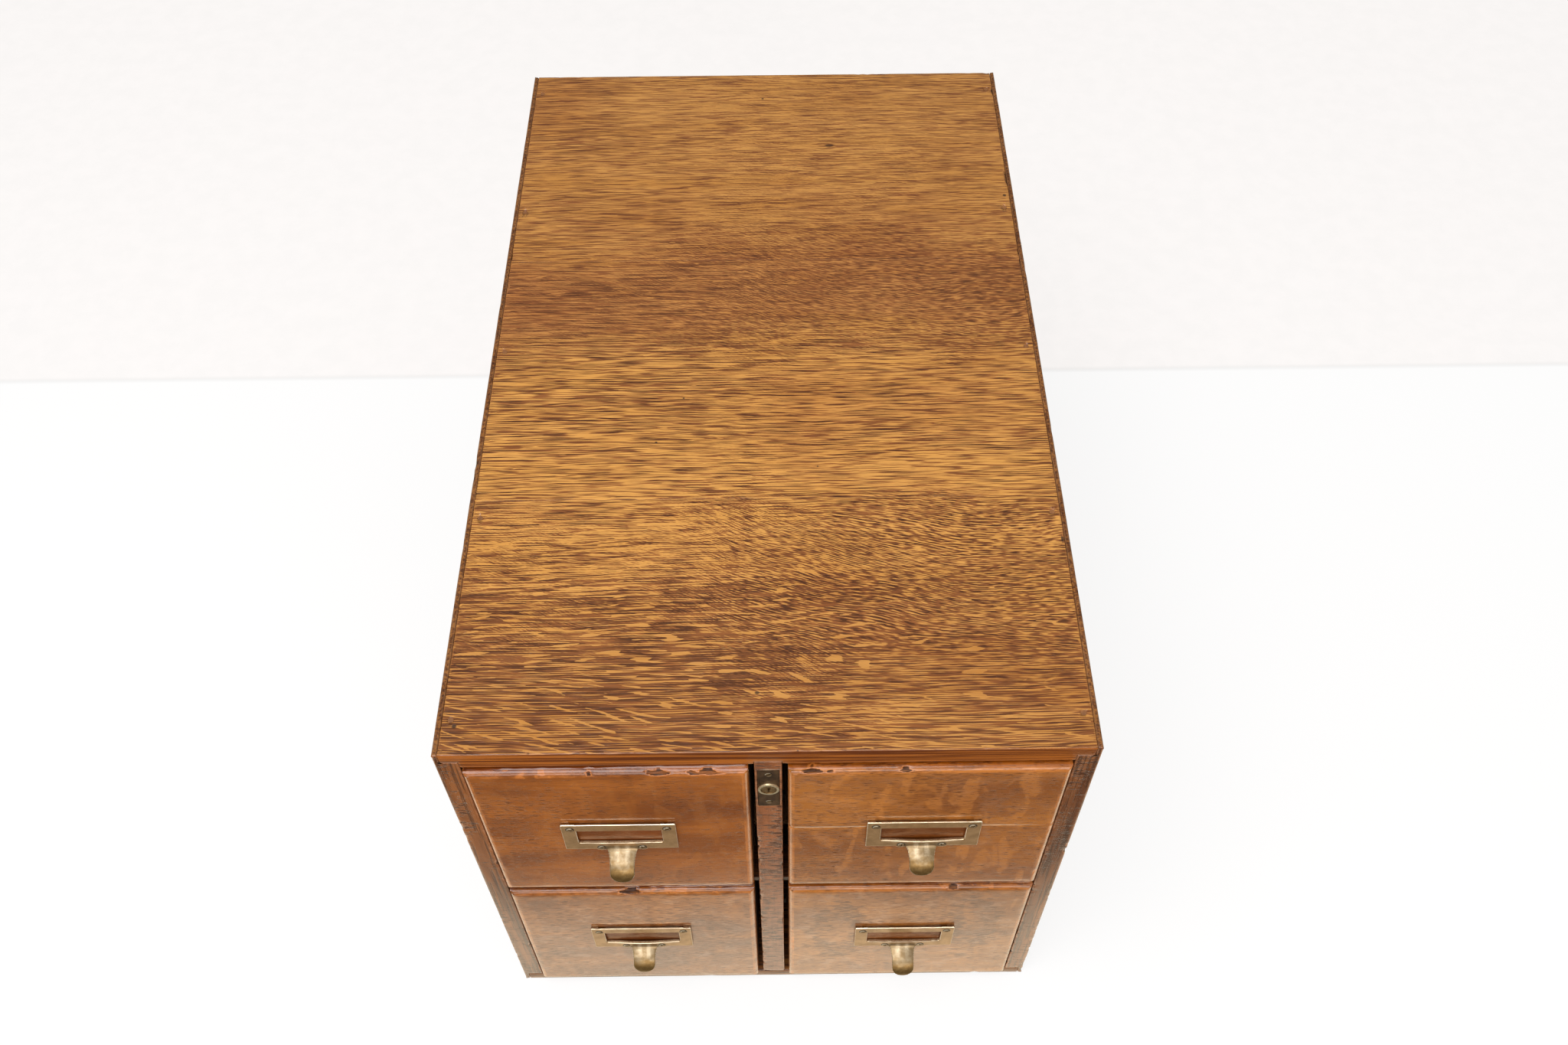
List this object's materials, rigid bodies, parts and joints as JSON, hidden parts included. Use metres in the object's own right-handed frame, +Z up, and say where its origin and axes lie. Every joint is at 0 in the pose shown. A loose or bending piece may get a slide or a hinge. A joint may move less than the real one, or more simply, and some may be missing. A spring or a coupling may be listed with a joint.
{
  "type": "index card cabinet",
  "caption": "Deep tabletop oak cabinet with drawers in two rows for index cards, label holder pulls, sliding followers inside and a lock on the centre stile.",
  "frame": {"origin": "middle of the underside of the case, on the surface it stands on", "axes": "+Z up, drawers open towards -Y, +X to the right as seen from the front"},
  "size_m": [0.4, 0.6843, 0.382],
  "materials": {
    "oak_top": "satin varnish, golden quarter-sawn oak",
    "oak_case": "satin varnish, dark worn oak",
    "oak_front": "gloss varnish, reddish oak",
    "drawer_wood": "bare aged wood",
    "brass_pull": "worn antique satin",
    "brass_screw": "tarnished",
    "brass_lock": "worn satin",
    "bronze_plate": "dark patina",
    "dark_steel": "dull"
  },
  "bodies": {
    "case": {"top_board_front": "oak_top", "top_board_middle": "oak_top", "top_board_rear": "oak_top", "side_left": "oak_case", "side_right": "oak_case", "bottom_board": "oak_case", "back_panel": "oak_case", "center_partition": "oak_case", "front_rail_left": "oak_case", "front_rail_right": "oak_case", "outer_runners": "oak_case", "inner_runners": "oak_case", "drawer_stops": "oak_case", "case_nails": "dark_steel", "back_nails": "dark_steel", "lock_plate": "bronze_plate", "lock_case": "brass_lock", "lock_screws": "dark_steel", "bar_straps": "dark_steel", "strap_screws": "dark_steel"},
    "lock_plug": {"lock_plug": "brass_lock", "lock_cam": "dark_steel"},
    "lock_bar": {"lock_bar": "dark_steel"},
    "lower_left_drawer": {"lower_left_front": "oak_front", "lower_left_outer_side": "drawer_wood", "lower_left_inner_side": "drawer_wood", "lower_left_back": "drawer_wood", "lower_left_bottom": "drawer_wood", "lower_left_pull": "brass_pull", "lower_left_pull_screws": "brass_screw"},
    "lower_left_follower": {"lower_left_follower": "drawer_wood", "lower_left_follower_shoe": "dark_steel"},
    "lower_right_drawer": {"lower_right_front": "oak_front", "lower_right_outer_side": "drawer_wood", "lower_right_inner_side": "drawer_wood", "lower_right_back": "drawer_wood", "lower_right_bottom": "drawer_wood", "lower_right_pull": "brass_pull", "lower_right_pull_screws": "brass_screw"},
    "lower_right_follower": {"lower_right_follower": "drawer_wood", "lower_right_follower_shoe": "dark_steel"},
    "upper_left_drawer": {"upper_left_front": "oak_front", "upper_left_outer_side": "drawer_wood", "upper_left_inner_side": "drawer_wood", "upper_left_back": "drawer_wood", "upper_left_bottom": "drawer_wood", "upper_left_pull": "brass_pull", "upper_left_pull_screws": "brass_screw"},
    "upper_left_follower": {"upper_left_follower": "drawer_wood", "upper_left_follower_shoe": "dark_steel"},
    "upper_right_drawer": {"upper_right_front_upper_board": "oak_front", "upper_right_front": "oak_front", "upper_right_outer_side": "drawer_wood", "upper_right_inner_side": "drawer_wood", "upper_right_back": "drawer_wood", "upper_right_bottom": "drawer_wood", "upper_right_pull": "brass_pull", "upper_right_pull_screws": "brass_screw"},
    "upper_right_follower": {"upper_right_follower": "drawer_wood", "upper_right_follower_shoe": "dark_steel"}
  },
  "joints": [
    {"name": "lower_left_slide", "type": "slide", "parent": "case", "child": "lower_left_drawer", "axis": [0, -1, 0], "range_m": [0, 0.52]},
    {"name": "lower_left_follower_slide", "type": "slide", "parent": "lower_left_drawer", "child": "lower_left_follower", "axis": [0, -1, 0], "range_m": [0, 0.546]},
    {"name": "lower_right_slide", "type": "slide", "parent": "case", "child": "lower_right_drawer", "axis": [0, -1, 0], "range_m": [0, 0.52]},
    {"name": "lower_right_follower_slide", "type": "slide", "parent": "lower_right_drawer", "child": "lower_right_follower", "axis": [0, -1, 0], "range_m": [0, 0.546]},
    {"name": "upper_left_slide", "type": "slide", "parent": "case", "child": "upper_left_drawer", "axis": [0, -1, 0], "range_m": [0, 0.52]},
    {"name": "upper_left_follower_slide", "type": "slide", "parent": "upper_left_drawer", "child": "upper_left_follower", "axis": [0, -1, 0], "range_m": [0, 0.546]},
    {"name": "upper_right_slide", "type": "slide", "parent": "case", "child": "upper_right_drawer", "axis": [0, -1, 0], "range_m": [0, 0.52]},
    {"name": "upper_right_follower_slide", "type": "slide", "parent": "upper_right_drawer", "child": "upper_right_follower", "axis": [0, -1, 0], "range_m": [0, 0.546]},
    {"name": "lock_turn", "type": "hinge", "parent": "case", "child": "lock_plug", "pos_m": [0, -0.3295, 0.334], "axis": [0, -1, 0], "range_deg": [0, 90]},
    {"name": "lock_bar_slide", "type": "slide", "parent": "case", "child": "lock_bar", "axis": [0, 0, -1], "range_m": [0, 0.004]}
  ],
  "couplings": [
    {"joint": "lock_turn", "follows": "lock_bar_slide", "rad_per_m": 392.69}
  ]
}
